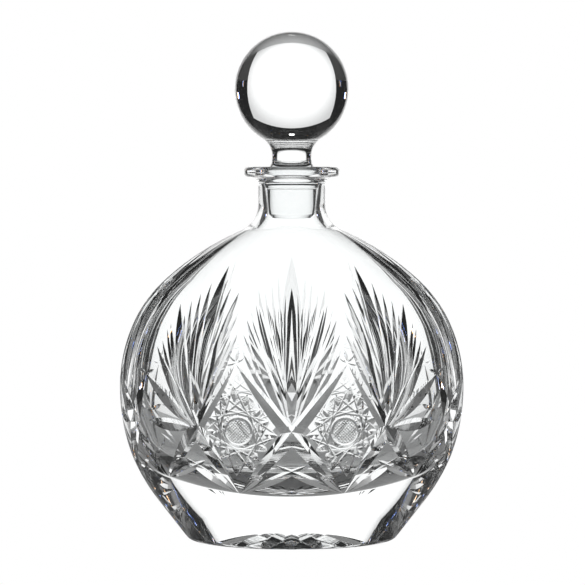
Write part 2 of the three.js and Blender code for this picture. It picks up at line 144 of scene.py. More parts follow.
# Each frond of a fan: where its tip is, how wide it is, and the share of the way out at which it starts
FRONT_FAN = [
    ((14.1, 125.7), 6.6, 0.03), ((16.3, 111.6), 7.4, 0.03), ((16.8, 97.2), 3.4, 0.25),
    ((6.5, 132.1), 3.2, 0.12), ((9.1, 129.5), 2.8, 0.2), ((11.2, 125), 2.6, 0.25),
    ((8.3, 117.7), 2.4, 0.2), ((13.9, 118.6), 2.8, 0.2), ((15.8, 116.6), 2.4, 0.3),
    ((16.9, 104.8), 2.8, 0.3),
]
FRONT_MIDDLE = ((0, 140.1), 11.0, 0.03)
OUTER_FAN = [
    ((34.5, 135.9), 7.8, 0.03), ((48.1, 117.9), 7.2, 0.03), ((22.9, 114.7), 6.8, 0.03),
    ((37.6, 128.3), 3.6, 0.15), ((40, 123.4), 2.8, 0.2), ((42.9, 120.1), 2.6, 0.2),
    ((43.2, 113.6), 2.6, 0.15), ((48.6, 109), 2.6, 0.3), ((49.3, 106.1), 2.4, 0.35),
    ((50, 100.8), 2.2, 0.4),
    ((21.8, 124.2), 4.2, 0.12), ((26.3, 126.7), 2.8, 0.25), ((30, 130.5), 2.4, 0.3),
    ((18.7, 104.7), 4.6, 0.1), ((19.6, 115.6), 2.2, 0.35), ((20.7, 102.3), 2.8, 0.3),
    ((54.5, 61.9), 6.4, 0.03), ((55.2, 84.2), 6.6, 0.0),
]
SIDE_FAN = [
    ((73, 139), 6.6, 0.03), ((64.5, 114), 7.0, 0.03), ((61.5, 98), 3.6, 0.2), ((69, 131), 3.0, 0.2),
    ((66, 106), 2.6, 0.3), ((80, 146), 5.4, 0.05), ((84, 134), 4.6, 0.1), ((76.5, 144), 2.8, 0.2),
    ((71, 124), 2.4, 0.3), ((78, 132), 2.4, 0.3), ((82.5, 140), 2.6, 0.25), ((67, 121), 2.2, 0.3),
    ((60, 61.5), 4.6, 0.05), ((80, 63), 4.6, 0.05),
]

# Upright leaves along the narrow side: one on its middle line, one beside it
SIDE_LEAF = ((90, 17), (90, 152), 13.2)
SIDE_PAIR = ((87, 19), (84, 152), 5.4)

# Mitres: long leaves between landmarks, and their widths
MITRES = [
    (TOP_INNER, (-LOW_INNER[0], LOW_INNER[1]), MITRE_WIDTH),
    (TOP_INNER, LOW_OUTER, 7.8),
    (LOW_INNER, (52.1, 97.8), 7.4),
    (TOP_OUTER, (85, 30), 7.4),
    (LOW_OUTER, (85, 92), 7.4),
]

# Small leaves: the sprigs over the diamonds, the pair in the outer diamond, the crosses low down
SMALL_LEAVES = [
    ((18.4, 91.3), (17.6, 97.6), 1.8), ((18.4, 91.3), (20.8, 94.4), 1.6), ((18.2, 91), (21.9, 89.8), 1.7),
    ((18, 91), (15.6, 93.4), 1.4),
    ((55.4, 85), (54, 92), 1.8), ((55.2, 84.6), (51, 86.5), 1.8), ((55.6, 84.6), (60, 86.5), 1.8),
    ((47, 70.2), (52, 67), 2.4), ((61, 71), (56.5, 67.4), 2.4),
    ((5.6, 42.7), (-17.5, 29.2), 4.2), ((30.4, 44.4), (50.2, 34.6), 4.2),
    ((39.6, 45.3), (22.6, 29.4), 4.2),
    ((8.2, 40.2), (19.4, 28.8), 3.6), ((30, 42.2), (21, 29.2), 3.6), ((42.6, 46), (50.8, 35.4), 3.2),
    ((63, 45), (53.5, 35.2), 3.4), ((60, 43), (76, 35), 3.6),
]

# The hobstar: its tips anticlockwise from the top one, and how many tips further on each chord ends
STAR_TIPS = [
    (18.8, 80.2), (14.1, 76.3), (9.9, 69.2), (7.2, 63.5), (4.4, 56.6), (8, 49.2), (11.1, 44.4),
    (13.8, 39.5), (20, 36.7), (25.2, 45), (27.2, 51), (29.7, 58), (27.9, 65), (25.6, 70.4), (22.9, 76.1),
]
STAR_SKIP = 5
STAR_LINE_WIDTH = 1.8
STAR_TIP_WIDTH = 3.4
STAR_TIP_LENGTH = 0.36
BUTTON_RADIUS = 5.6
BUTTON_REACH = 8.0
RING_WIDTH = 2.2
HATCH_SPACING = 1.07
HATCH_WIDTH = 0.6
HATCH_LINES_BESIDE_MIDDLE = 5
HATCH_LEANS = (math.radians(45), math.radians(-45))

# The star under the foot. It starts near the crown, at a share of its reach
BASE_STAR_POINTS = 16
BASE_STAR_WIDTH = 8.5
BASE_STAR_MARGIN = 1.0
BASE_STAR_START = 0.02

# How finely outlines, turned surfaces and cuts are divided
WIDE_ARC_STEP = 2.4
FOOT_ARC_STEP = 0.5
NECK_ARC_STEP = 0.8
FLANGE_ARC_STEP = 0.4
EDGE_ARC_STEP = 0.25
THROAT_ARC_STEP = 1.0
FLOOR_CORNER_STEP = 0.7
STEM_ARC_STEP = 0.35
BALL_ARC_STEP = 0.9
ROUNDING_STEP = 0.12
LEAST_ARC_POINTS = 3
BORE_STATIONS = 8
BORE_OVERLAP = 1.0
BODY_COLUMNS = 208
STOPPER_COLUMNS = 160
CUT_STEP = 3.0
FINE_STEP = 2.0
RING_STATIONS = 36
BASE_STAR_STATIONS = 16
LEAST_STATIONS = 4
LEAST_REACH = 1.0
SEARCH_STEPS = 32
SLOPE_STEP = 0.01

# Shading: how well a normal from the cutting has to agree with its facet, as a cosine, and sharp edges
LEAST_AGREEMENT = 0.5
SHARP_ANGLE = math.radians(30)

# Glass, and the length and depth of the slight waves that acid polishing leaves
GLASS_COLOUR = "#fdfefe"
GLASS_INDEX = 1.55
POLISH_WAVE = 9.0
POLISH_DEPTH = 0.02

# Studio floor, and the lit panel behind the decanter. Radiance 1 is the white that the camera shows. The
# panel's light fades between the hot spot and the fade's end, which are shares of the panel's half size
WHITE = (1, 1, 1, 1)
FLOOR_HALF_SIZE = 1500.0
FLOOR_COLOUR = "#f0f0f0"
FLOOR_GLOW = 0.05
BOX_DISTANCE = 285.0
BOX_WIDTH = 430.0
BOX_HEIGHT = 395.0
BOX_HOT_HEIGHT = 170.0
BOX_HOT_SPOT = 0.5
BOX_FADE_END = 1.3
BOX_RADIANCE = 1.3
BOX_EDGE_RADIANCE = 0.75

# Pale room beside and in front: from what angle off straight behind, and between what heights
ROOM_FROM = math.radians(80)
ROOM_TOP = math.radians(28)
ROOM_FOOT = math.radians(-35)
ROOM_EDGE = math.radians(8)
ROOM_STRENGTH = 0.85
DARK_STRENGTH = 0.02

# Small bare lamps, and the colours across the two at the sides
LAMP_HALF_SIZE = math.radians(3)
SIDE_LAMP_AZIMUTH = math.radians(64)
SIDE_LAMP_HEIGHT = math.radians(7)
BACK_LAMP_HEIGHT = math.radians(44)
BACK_LAMP_HALF_HEIGHT = math.radians(1.2)
LAMP_STRENGTH = 4.5
LAMP_BLUE = (0.03, 0.2, 1, 1)
LAMP_ORANGE = (1, 0.4, 0.03, 1)
LAMP_COLOURS = ((0.0, WHITE), (0.01, LAMP_BLUE), (0.5, WHITE), (0.99, LAMP_ORANGE), (1.0, WHITE))

# Camera. The frame's width and the shift aside are in pixels
EYE_HEIGHT = 181.5
EYE_DISTANCE = 1029.0
AIM_HEIGHT = 121.4
FRAME_WIDTH = 585
PIXELS_ASIDE = 0.8
MM_PER_PIXEL = 0.49
SENSOR = 36.0

# How often light is followed through the glass
LIGHT_BOUNCES = 24


# Outlines and turned surfaces

def direction(angle):
    return np.array([math.cos(angle), math.sin(angle)])


def unit(vectors):
    """The vectors made one long."""
    return vectors / np.linalg.norm(vectors, axis=-1, keepdims=True)


def arc(centre, radius, start, end, step):
    """Points on a circle between two angles, about one step apart: centre + radius (cos a, sin a)."""
    count = max(LEAST_ARC_POINTS, int(abs(end - start) * radius / step) + 2)
    angles = np.linspace(start, end, count)
    return np.asarray(centre) + radius * np.stack([np.cos(angles), np.sin(angles)], axis=1)


def shoulder_arcs(belly_centre, belly_radius, shoulder_radius, fillet, upright):
    """Centre and end of the shoulder arc that carries on from the belly, and the centre of its fillet."""
    start = belly_centre + belly_radius * direction(SHOULDER_START)
    centre = start - shoulder_radius * direction(SHOULDER_START)
    end = math.acos((upright + fillet - centre[0]) / (shoulder_radius + fillet))
    return centre, end, centre + (shoulder_radius + fillet) * direction(end)


belly_centre = np.array([BELLY_HALF_WIDTH - UPPER_RADIUS, BELLY_HEIGHT])
lower_centre = np.array([BELLY_HALF_WIDTH - LOWER_RADIUS, BELLY_HEIGHT])
shoulder_centre, shoulder_end, neck_fillet_centre = shoulder_arcs(
    belly_centre, UPPER_RADIUS, SHOULDER_RADIUS, NECK_FILLET, NECK_RADIUS)
shoulder_top = neck_fillet_centre[1]
rim_top = shoulder_top + NECK_LENGTH
taper_top = lower_centre + LOWER_RADIUS * direction(-FOOT_TAPER)
foot_flat = (taper_top[0] - taper_top[1] * math.tan(FOOT_TAPER)
             - FOOT_CORNER * math.tan((math.pi / 2 - FOOT_TAPER) / 2))

hollow_radius = UPPER_RADIUS - WALL_BELLY
hollow_centre = belly_centre + np.array([0, HOLLOW_RISE])
throat_radius = NECK_RADIUS - WALL_NECK
hollow_shoulder_centre, hollow_shoulder_end, hollow_fillet_centre = shoulder_arcs(
    hollow_centre, hollow_radius, HOLLOW_SHOULDER_RADIUS, HOLLOW_FILLET, throat_radius)
bore_start = hollow_fillet_centre + HOLLOW_FILLET * direction(math.pi - BORE_TAPER)


def bore_radius(height):
    return bore_start[0] + (height - bore_start[1]) * math.tan(BORE_TAPER)


def half_depth(half_width, upright, widest, deepest):
    """Half depth that goes with a half width: round up to the upright's radius, flattened beyond it."""
    flattening = (deepest - upright) / (widest - upright)
    return np.where(half_width > upright, upright + (half_width - upright) * flattening, half_width)


def outer_depth(half_width):
    return half_depth(half_width, NECK_RADIUS, BELLY_HALF_WIDTH, BELLY_HALF_DEPTH)


def hollow_depth(half_width):
    widest = belly_centre[0] + hollow_radius
    return half_depth(half_width, throat_radius, widest, BELLY_HALF_DEPTH - WALL_FACE)


dome_radius = (DOME_HALF_WIDTH ** 2 + DOME_HEIGHT ** 2) / (2 * DOME_HEIGHT)
dome_centre = np.array([0, DOME_HEIGHT - dome_radius])


def dome_height(half_width):
    return dome_centre[1] + np.sqrt(dome_radius ** 2 - half_width ** 2)


def dome_profile():
    """Outline of the dome under the foot, from its crown to its edge on the flat ring."""
    edge = math.asin(DOME_HALF_WIDTH / dome_radius)
    return arc(dome_centre, dome_radius, math.pi / 2, math.pi / 2 - edge, WIDE_ARC_STEP)


def outside_profile():
    """Outline from the middle of the foot to the top of the rim: half width and height."""
    underside = rim_top - FLANGE_THICKNESS
    flange_fillet_centre = (NECK_RADIUS + FLANGE_FILLET, underside - FLANGE_FILLET)
    flange_edge = FLANGE_RADIUS - FLANGE_EDGE
    mouth = bore_radius(rim_top - MOUTH_ROUND)
    return np.concatenate([
        dome_profile(),
        arc((foot_flat, FOOT_CORNER), FOOT_CORNER, -math.pi / 2, -FOOT_TAPER, FOOT_ARC_STEP),
        arc(lower_centre, LOWER_RADIUS, -FOOT_TAPER, 0, WIDE_ARC_STEP),
        arc(belly_centre, UPPER_RADIUS, 0, SHOULDER_START, WIDE_ARC_STEP)[1:],
        arc(shoulder_centre, SHOULDER_RADIUS, SHOULDER_START, shoulder_end, WIDE_ARC_STEP)[1:],
        arc(neck_fillet_centre, NECK_FILLET, math.pi + shoulder_end, math.pi, NECK_ARC_STEP)[1:],
        arc(flange_fillet_centre, FLANGE_FILLET, math.pi, math.pi / 2, FLANGE_ARC_STEP),
        arc((flange_edge, underside + FLANGE_EDGE), FLANGE_EDGE, -math.pi / 2, 0, EDGE_ARC_STEP),
        arc((flange_edge, rim_top - FLANGE_EDGE), FLANGE_EDGE, 0, math.pi / 2, EDGE_ARC_STEP),
        arc((mouth + MOUTH_ROUND, rim_top - MOUTH_ROUND), MOUTH_ROUND, math.pi / 2, math.pi, EDGE_ARC_STEP),
    ])


def hollow_corner():
    """Centre of the corner that touches the hollow's taper and its floor, and the angle where it ends.

    With the corner's centre at (a + T h, h) beside the taper, it lies R - r from the floor's centre (0, C):
    (a + T h)^2 + (h - C)^2 = (R - r)^2, of which the lower height is taken.
    """
    low = hollow_centre + hollow_radius * direction(-HOLLOW_TAPER)
    slope = math.tan(HOLLOW_TAPER)
    start = low[0] - low[1] * slope - HOLLOW_CORNER / math.cos(HOLLOW_TAPER)
    top = BASE_THICKNESS + HOLLOW_FLOOR_RADIUS
    reach = HOLLOW_FLOOR_RADIUS - HOLLOW_CORNER
    half = start * slope - top
    square = 1 + slope ** 2
    height = (-half - math.sqrt(half ** 2 - square * (start ** 2 + top ** 2 - reach ** 2))) / square
    centre = np.array([start + slope * height, height])
    return centre, math.atan2(height - top, centre[0])


def hollow_profile():
    """Outline of the bore and the hollow, from under the mouth's edge down to the middle of the floor."""
    corner, floor_end = hollow_corner()
    floor_centre = (0, BASE_THICKNESS + HOLLOW_FLOOR_RADIUS)
    bore = np.linspace(rim_top - 2 * MOUTH_ROUND, bore_start[1] + BORE_OVERLAP, BORE_STATIONS)
    return np.concatenate([
        np.stack([bore_radius(bore), bore], axis=1),
        arc(hollow_fillet_centre, HOLLOW_FILLET, math.pi - BORE_TAPER, math.pi + hollow_shoulder_end,
            THROAT_ARC_STEP),
        arc(hollow_shoulder_centre, HOLLOW_SHOULDER_RADIUS, hollow_shoulder_end, SHOULDER_START,
            WIDE_ARC_STEP)[1:],
        arc(hollow_centre, hollow_radius, SHOULDER_START, -HOLLOW_TAPER, WIDE_ARC_STEP)[1:],
        arc(corner, HOLLOW_CORNER, -HOLLOW_TAPER, floor_end, FLOOR_CORNER_STEP),
        arc(floor_centre, HOLLOW_FLOOR_RADIUS, floor_end, -math.pi / 2, WIDE_ARC_STEP)[1:],
    ])


def turned(profile, depths, columns):
    """A closed turned surface: x = r sin t, y = -d cos t, z = h for a profile point (r, h) of half depth d.

    The profile's first and last points are on the axis and become single points. Returns the points, their
    faces as rows of four (a triangle repeats its last point) and the smooth normal at each point, which is
    the cross product of the surface's directions round the axis and along the profile.
    """
    turn = np.linspace(0, 2 * np.pi, columns, endpoint=False)
    radius, height = profile[:, :1], profile[:, 1:]
    depth = depths[:, None]
    ring = np.stack([radius * np.sin(turn), -depth * np.cos(turn), height + 0 * turn], axis=-1)
    around = np.stack([radius * np.cos(turn), depth * np.sin(turn), 0 * height + 0 * turn], axis=-1)
    along = np.gradient(profile, axis=0)
    slope = np.gradient(depths)[:, None]
    up = np.stack([along[:, :1] * np.sin(turn), -slope * np.cos(turn), along[:, 1:] + 0 * turn], axis=-1)
    normal = np.cross(around, up)
    normal[0], normal[-1] = (0, 0, -1), (0, 0, 1)
    normal /= np.linalg.norm(normal, axis=-1, keepdims=True)
    rows = len(profile)
    inner = ring[1:-1].reshape(-1, 3)
    points = np.concatenate([inner, ring[:1, 0], ring[-1:, 0]])
    normals = np.concatenate([normal[1:-1].reshape(-1, 3), normal[:1, 0], normal[-1:, 0]])
    first, last = len(inner), len(inner) + 1
    column = np.arange(columns)
    beside = (column + 1) % columns
    row = np.arange(rows - 3)[:, None] * columns
    quads = np.stack([row + column, row + beside, row + columns + beside, row + columns + column], axis=-1)
    top = (rows - 3) * columns
    caps = np.concatenate([
        np.stack([beside, column, np.full(columns, first), np.full(columns, first)], axis=-1),
        np.stack([top + column, top + beside, np.full(columns, last), np.full(columns, last)], axis=-1),
    ])
    return points, np.concatenate([quads.reshape(-1, 4), caps]), normals


def mesh_of(name, points, quads, corner_normals=None):
    """A mesh in metres from points and rows of four corners, a triangle where the last two are the same."""
    mesh = bpy.data.meshes.new(name)
    is_quad = quads[:, 2] != quads[:, 3]
    keep = np.ones(quads.shape, bool)
    keep[:, 3] = is_quad
    corners = quads[keep]
    sizes = np.where(is_quad, 4, 3)
    mesh.vertices.add(len(points))
    mesh.vertices.foreach_set("co", (points * MM).astype(np.float32).ravel())
    mesh.loops.add(len(corners))
    mesh.loops.foreach_set("vertex_index", corners.astype(np.int32))
    mesh.polygons.add(len(quads))
    mesh.polygons.foreach_set("loop_start", np.concatenate([[0], np.cumsum(sizes)[:-1]]).astype(np.int32))
    mesh.update(calc_edges=True)
    if corner_normals is not None:
        finish = mesh.attributes.new("finish", "FLOAT_VECTOR", "CORNER")
        finish.data.foreach_set("vector", corner_normals[keep].astype(np.float32).ravel())
    return mesh


# The surface that the wheel cuts

def half_width_at(height):
    """Half width of the outside at a height, from the foot's taper to the end of the shoulder."""
    start = belly_centre + UPPER_RADIUS * direction(SHOULDER_START)
    taper = taper_top[0] - (taper_top[1] - height) * math.tan(FOOT_TAPER)
    low = lower_centre[0] + np.sqrt(np.maximum(LOWER_RADIUS ** 2 - (BELLY_HEIGHT - height) ** 2, 0))
    high = belly_centre[0] + np.sqrt(np.maximum(UPPER_RADIUS ** 2 - (height - BELLY_HEIGHT) ** 2, 0))
    shoulder = shoulder_centre[0] + np.sqrt(
        np.maximum(SHOULDER_RADIUS ** 2 - (height - shoulder_centre[1]) ** 2, 0))
    return np.select([height < taper_top[1], height < BELLY_HEIGHT, height < start[1]],
                     [taper, low, high], shoulder)


def surface_point(mark):
    """The place on the outside of a mark, which is an angle from the middle of the front and a height."""
    angle, height = math.radians(mark[0]), float(mark[1])
    half_width = float(half_width_at(np.array(height)))
    depth = float(outer_depth(half_width))
    return np.array([half_width * math.sin(angle), -depth * math.cos(angle), height])


def outside_by(points):
    """Below 0 inside the body, above 0 outside: (x / half width)^2 + (y / half depth)^2 - 1."""
    half_width = half_width_at(points[..., 2])
    return (points[..., 0] / half_width) ** 2 + (points[..., 1] / outer_depth(half_width)) ** 2 - 1


def surface_normals(points):
    """The slope of outside_by along x, y and z, made one long."""
    slopes = [outside_by(points + step) - outside_by(points - step) for step in SLOPE_STEP * np.eye(3)]
    return unit(np.stack(slopes, axis=-1))


def onto_surface(points, facing, reach):
    """Slides points along one direction, by no more than the reach, until they lie on the outside."""
    low, high = np.full(len(points), -reach), np.full(len(points), reach)
    for _ in range(SEARCH_STEPS):
        middle = (low + high) / 2
        inside = outside_by(points + middle[:, None] * facing) < 0
        low, high = np.where(inside, middle, low), np.where(inside, high, middle)
    return points + low[:, None] * facing


# Wheel cuts

def straight_path(start, end, step=CUT_STEP):
    """Stations of a cut from one place on the outside to another, in the plane of the wheel."""
    chord = end - start
    length = np.linalg.norm(chord)
    count = max(LEAST_STATIONS, int(length / step) + 2)
    facing = surface_normals((start + end) / 2)
    share = np.linspace(0, 1, count)
    places = onto_surface(start + share[:, None] * chord, facing, max(length / 2, LEAST_REACH))
    return share, places


def along_line(places, closed):
    """Unit directions along a line of places, each from the place before to the place after."""
    if closed:
        return unit(np.roll(places, -1, axis=0) - np.roll(places, 1, axis=0))
    return unit(np.gradient(places, axis=0))


def wheel_cut(stroke, half_angle):
    """The solid that a wheel's rim takes away along a stroke of places, normals and widths, closed or open.

    At each station the lowest point lies width / 2 / tan(half angle) under the glass. Two walls rise from
    it at the wheel's half angle to a little above the glass, and each has its own smooth normals.
    """
    places, normals, widths, closed = stroke
    spread = math.tan(half_angle)
    across = unit(np.cross(along_line(places, closed), normals))
    depth = (widths / 2 / spread)[:, None]
    bottom = places - depth * normals
    reach = (depth + CUT_LIFT) * spread
    lip = places + CUT_LIFT * normals
    right, left = lip + reach * across, lip - reach * across
    run = along_line(bottom, closed)

    def wall_normals(rim):
        facing = unit(np.cross(rim - bottom, run))
        return facing * np.sign(np.sum(facing * normals, axis=1))[:, None]

    count = len(places)
    points = np.concatenate([bottom, right, left])
    here = np.arange(count if closed else count - 1)
    ahead = (here + 1) % count
    walls = [
        (np.stack([here, ahead, ahead + count, here + count], axis=-1), wall_normals(right)),
        (np.stack([here + count, ahead + count, ahead + 2 * count, here + 2 * count], axis=-1), normals),
        (np.stack([here + 2 * count, ahead + 2 * count, ahead, here], axis=-1), wall_normals(left)),
    ]
    quads = [rows for rows, _ in walls]
    finish = [wall[rows % count] for rows, wall in walls]
    if not closed:
        ends = np.array([
            [0, count, 2 * count, 2 * count],
            [count - 1, 3 * count - 1, 2 * count - 1, 2 * count - 1],
        ])
        quads.append(ends)
        finish.append(np.repeat(normals[ends % count][:, :1], 4, axis=1))
    return points, np.concatenate(quads), np.concatenate(finish)


def lens_widths(share, width):
    """A cut into which the wheel sinks and rises again: width 4 s (1 - s), less the run out at its ends."""
    return width * 4 * share * (1 - share) - RUN_OUT


def lens(start, end, width, step=CUT_STEP):
    share, places = straight_path(surface_point(start), surface_point(end), step)
    return places, surface_normals(places), lens_widths(share, width), False


def blade(start, end, width):
    """Like a lens, but with flatter flanks: width (4 s (1 - s)) ^ fullness."""
    share, places = straight_path(surface_point(start), surface_point(end))
    widths = width * (4 * share * (1 - share)) ** BLADE_FULLNESS - RUN_OUT
    return places, surface_normals(places), widths, False


def mirrored(cut, side):
    """The same cut on another side of the body: side is the factors for x, y and z."""
    points, quads, finish = cut
    side = np.asarray(side, float)
    if np.prod(side) > 0:
        return points * side, quads, finish * side
    is_quad = (quads[:, 2] != quads[:, 3])[:, None]
    order = np.where(is_quad, [[0, 3, 2, 1]], [[0, 2, 1, 1]])
    return (points * side, np.take_along_axis(quads, order, axis=1),
            np.take_along_axis(finish, order[..., None], axis=1) * side)


# Pattern

def frond(crossing, tip, width, start_share):
    start = [crossing[k] + (tip[k] - crossing[k]) * start_share for k in (0, 1)]
    return lens(start, tip, width)


def hobstar():
    """Chords between the star's tips, a short leaf at each tip, and a ringed button with crossed lines."""
    centre = surface_point(STAR_CENTRE)
    normal = surface_normals(centre)
    upward = unit(np.array([0, 0, 1.0]) - normal[2] * normal)
    sideways = np.cross(upward, normal)

    def on_button(right, up):
        flat = centre + right * sideways + up * upward
        return onto_surface(np.atleast_2d(flat), normal, BUTTON_REACH)

    strokes = []
    for i, tip in enumerate(STAR_TIPS):
        strokes.append(blade(tip, STAR_TIPS[(i + STAR_SKIP) % len(STAR_TIPS)], STAR_LINE_WIDTH))
        inner = [tip[k] + (STAR_CENTRE[k] - tip[k]) * STAR_TIP_LENGTH for k in (0, 1)]
        strokes.append(lens(tip, inner, STAR_TIP_WIDTH, FINE_STEP))
    turn = np.linspace(0, 2 * np.pi, RING_STATIONS, endpoint=False)
    radius = BUTTON_RADIUS + RING_WIDTH / 2
    ring = np.concatenate([on_button(radius * math.cos(a), radius * math.sin(a)) for a in turn])
    strokes.append((ring, surface_normals(ring), np.full(len(ring), RING_WIDTH), True))
    lines = np.arange(-HATCH_LINES_BESIDE_MIDDLE, HATCH_LINES_BESIDE_MIDDLE + 1) * HATCH_SPACING
    for lean in HATCH_LEANS:
        along, aside = direction(lean), direction(lean + math.pi / 2)
        for offset in lines:
            half = math.sqrt(BUTTON_RADIUS ** 2 - offset ** 2)
            ends = [on_button(*(offset * aside + side * half * along))[0] for side in (-1, 1)]
            share, places = straight_path(ends[0], ends[1], FINE_STEP)
            strokes.append((places, surface_normals(places), np.full(len(share), HATCH_WIDTH), False))
    return strokes


def base_star():
    """The star in the dome under the foot: leaves from near its crown to just inside its edge."""
    strokes = []
    reach = (DOME_HALF_WIDTH - BASE_STAR_MARGIN) * np.linspace(BASE_STAR_START, 1, BASE_STAR_STATIONS)
    height = dome_height(reach)[:, None]
    slope = reach[:, None] / (height - dome_centre[1])
    widths = lens_widths(np.linspace(0, 1, BASE_STAR_STATIONS), BASE_STAR_WIDTH)
    for angle in np.arange(BASE_STAR_POINTS) * 2 * np.pi / BASE_STAR_POINTS:
        outward = np.stack([reach * math.cos(angle), outer_depth(reach) * math.sin(angle)], axis=-1)
        places = np.concatenate([outward, height], axis=1)
        normals = unit(np.concatenate([-slope * unit(outward), np.full_like(height, -1)], axis=1))
        strokes.append((places, normals, widths, False))
    return strokes


def face_cuts(half_angle):
    """The cuts on one face: those of one quarter, mirrored to the other, and that on the middle line."""
    quarter = [lens(*leaf) for leaf in MITRES + SMALL_LEAVES + [SIDE_PAIR]]
    for crossing, fan in ((CROSS_FRONT, FRONT_FAN), (CROSS_OUTER, OUTER_FAN), (CROSS_SIDE, SIDE_FAN)):
        quarter += [frond(crossing, *leaf) for leaf in fan]
    quarter = [wheel_cut(stroke, half_angle) for stroke in quarter + hobstar()]
    middle = wheel_cut(frond(CROSS_FRONT, *FRONT_MIDDLE), half_angle)
    return [mirrored(cut, (x, 1, 1)) for cut in quarter for x in (1, -1)] + [middle]


def pattern_cuts():
    """All cuts: both faces, the leaves on the narrow sides' middle lines, and the star under the foot."""
    side = wheel_cut(lens(*SIDE_LEAF), WHEEL_HALF_ANGLE)
    return [
        *face_cuts(WHEEL_HALF_ANGLE),
        *[mirrored(cut, (1, -1, 1)) for cut in face_cuts(BLUNT_WHEEL_HALF_ANGLE)],
        *[mirrored(side, (x, 1, 1)) for x in (1, -1)],
        *[wheel_cut(stroke, BLUNT_WHEEL_HALF_ANGLE) for stroke in base_star()],
    ]


def blank_body():
    """The turned body before any cutting: outside and hollow in one, round above the shoulder."""
    outside, hollow = outside_profile(), hollow_profile()
    profile = np.concatenate([outside, hollow])
    depths = np.concatenate([outer_depth(outside[:, 0]), hollow_depth(hollow[:, 0])])
    depths = np.where(profile[:, 1] > shoulder_top, profile[:, 0], depths)
    points, quads, normals = turned(profile, depths, BODY_COLUMNS)
    return mesh_of("blank", points, quads, normals[quads])


def discard(piece):
    """Removes an object and its mesh."""
    mesh = piece.data
    bpy.data.objects.remove(piece)
    bpy.data.meshes.remove(mesh)


def cut_body():
    """The blank body with every cut taken out of it, and the smooth normals of both kept."""
    blank = bpy.data.objects.new("blank", blank_body())
    bpy.context.scene.collection.objects.link(blank)
    tools = bpy.data.collections.new("wheel_cuts")
    for cut in pattern_cuts():
        tools.objects.link(bpy.data.objects.new("wheel_cut", mesh_of("wheel_cut", *cut)))
    modifier = blank.modifiers.new("cutting", "BOOLEAN")
    modifier.operation = "DIFFERENCE"
    modifier.operand_type = "COLLECTION"
    modifier.collection = tools
    modifier.solver = "MANIFOLD"
    evaluated = blank.evaluated_get(bpy.context.evaluated_depsgraph_get())
    mesh = bpy.data.meshes.new_from_object(evaluated)
    for tool in list(tools.objects):
        discard(tool)
    bpy.data.collections.remove(tools)
    discard(blank)
    return mesh


def keep_smooth_normals(mesh):
    """Shades the mesh with the normals that came through the cutting. A sliver without its own is flat."""
    finish = np.empty((len(mesh.loops), 3), np.float32)
    mesh.attributes["finish"].data.foreach_get("vector", finish.ravel())
    faces = len(mesh.polygons)
    normal = np.empty((faces, 3), np.float32)
    sizes = np.empty(faces, np.int32)
    mesh.polygons.foreach_get("normal", normal.ravel())
    mesh.polygons.foreach_get("loop_total", sizes)
    flat = np.repeat(normal, sizes, axis=0)
    lost = np.sum(finish * flat, axis=1) < LEAST_AGREEMENT
    finish[lost] = flat[lost]
    mesh.attributes.remove(mesh.attributes["finish"])
    mesh.polygons.foreach_set("use_smooth", np.ones(faces, bool))
    mesh.normals_split_custom_set(unit(finish))
    return mesh


# Stopper's shape

def rounded(corners, radius):
    """An open outline with each corner rounded by an arc that touches both of its sides."""
    corners = np.asarray(corners, float)
    pieces = [corners[:1]]
    for before, corner, after in zip(corners, corners[1:], corners[2:]):
        to_before, to_after = unit(before - corner), unit(after - corner)
        half = math.acos(np.clip(np.dot(to_before, to_after), -1, 1)) / 2
        near = min(np.linalg.norm(before - corner), np.linalg.norm(after - corner)) * ROUND_SHARE
        size = min(radius, near * math.tan(half))
        start = corner + to_before * size / math.tan(half)
        end = corner + to_after * size / math.tan(half)
        centre = corner + unit(to_before + to_after) * size / math.sin(half)
        share = np.linspace(0, 1, max(LEAST_ARC_POINTS, int(size / ROUNDING_STEP)))[:, None]
        pieces.append(centre + size * unit((1 - share) * (start - centre) + share * (end - centre)))
    return np.concatenate(pieces + [corners[-1:]])


def stopper_profile():
    """Outline of the stopper from the middle of the plug's end to the top of the ball."""
    seat_top = rim_top - SEAT_TOP_BELOW_RIM
    seat_low = seat_top - SEAT_LENGTH
    plug_end = rim_top - PLUG_BELOW_RIM
    plug_top_radius = bore_radius(seat_low) - SEAT_CLEARANCE - PLUG_STEP
    plug_end_radius = plug_top_radius - (seat_low - plug_end) * math.tan(PLUG_TAPER)
    ring = rim_top + STEM_RING_ABOVE_RIM
    ball = np.array([0, rim_top + BALL_ABOVE_RIM])
    reach = BALL_RADIUS + STEM_FILLET
    fillet_x = STEM_RADIUS + STEM_FILLET
    fillet = np.array([fillet_x, ball[1] - math.sqrt(reach ** 2 - fillet_x ** 2)])
    join = math.atan2(fillet[1] - ball[1], fillet[0])
    end_curve = [(plug_end_radius - PLUG_CORNER * share, plug_end + rise) for share, rise in PLUG_END_CURVE]
    plug_and_seat = rounded([
        end_curve[1],
        (plug_end_radius, plug_end + PLUG_CORNER),
        (plug_top_radius, seat_low),
        (bore_radius(seat_low) - SEAT_CLEARANCE, seat_low + SEAT_CHAMFER),
        (bore_radius(seat_top) - SEAT_CLEARANCE, seat_top),
        (STEM_RADIUS + STEM_RING_STEP + STEM_FLARE, rim_top - STEM_FLARE_BELOW_RIM),
        (STEM_RADIUS + STEM_RING_STEP, ring - STEM_RING_LENGTH),
        (STEM_RADIUS + STEM_RING_STEP / 2, ring),
    ], SEAT_ROUND)
    return np.concatenate([
        [(0, plug_end), (PLUG_END_FLAT, plug_end), end_curve[0]],
        plug_and_seat,
        arc(fillet, STEM_FILLET, math.pi, math.pi + join, STEM_ARC_STEP),
        arc(ball, BALL_RADIUS, join, math.pi / 2, BALL_ARC_STEP)[1:-1],
        [[0, ball[1] + BALL_RADIUS]],
    ])


